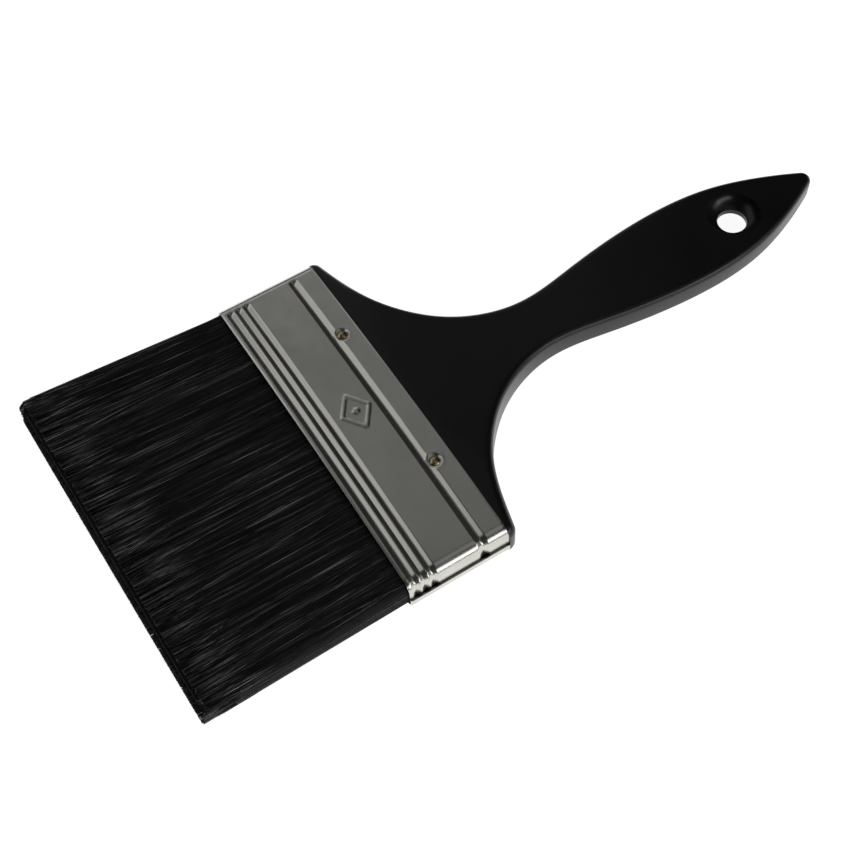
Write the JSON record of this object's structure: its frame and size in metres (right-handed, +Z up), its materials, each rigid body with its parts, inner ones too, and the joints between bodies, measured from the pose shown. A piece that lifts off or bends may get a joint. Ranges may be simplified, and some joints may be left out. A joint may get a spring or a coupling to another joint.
{
  "type": "flat wall brush",
  "caption": "Flat paint brush with a moulded plastic handle, plated sheet-steel ferrule held by nails, and dark synthetic filaments that flex at the ferrule.",
  "frame": {"origin": "under the middle of the bounding box, on the surface that the brush lies on", "axes": "+Y towards the tail of the handle, +X across the brush, +Z up through its thickness"},
  "size_m": [0.1046, 0.2264, 0.0141],
  "materials": {
    "handle_plastic": "satin black moulded polypropylene",
    "plated_steel": "satin nickel-plated sheet steel",
    "brass": "brass-plated nail",
    "filament": "near-black synthetic filament",
    "epoxy": "set epoxy resin",
    "plug_board": "pressed board strip"
  },
  "bodies": {
    "brush": {"handle": "handle_plastic", "ferrule": "plated_steel", "nail_top_left": "brass", "nail_top_right": "brass", "nail_bottom_left": "brass", "nail_bottom_right": "brass", "epoxy_setting": "epoxy", "spacer_plug": "plug_board", "filament_roots_top": "filament", "filament_roots_bottom": "filament"},
    "bristles": {"filaments_top": "filament", "filaments_bottom": "filament"}
  },
  "joints": [
    {"name": "bristle_flex", "type": "hinge", "parent": "brush", "child": "bristles", "pos_m": [0, -0.0572, 0.00705], "axis": [1, 0, 0], "range_deg": [-20, 20], "stiffness_Nm_per_rad": 1.2}
  ]
}
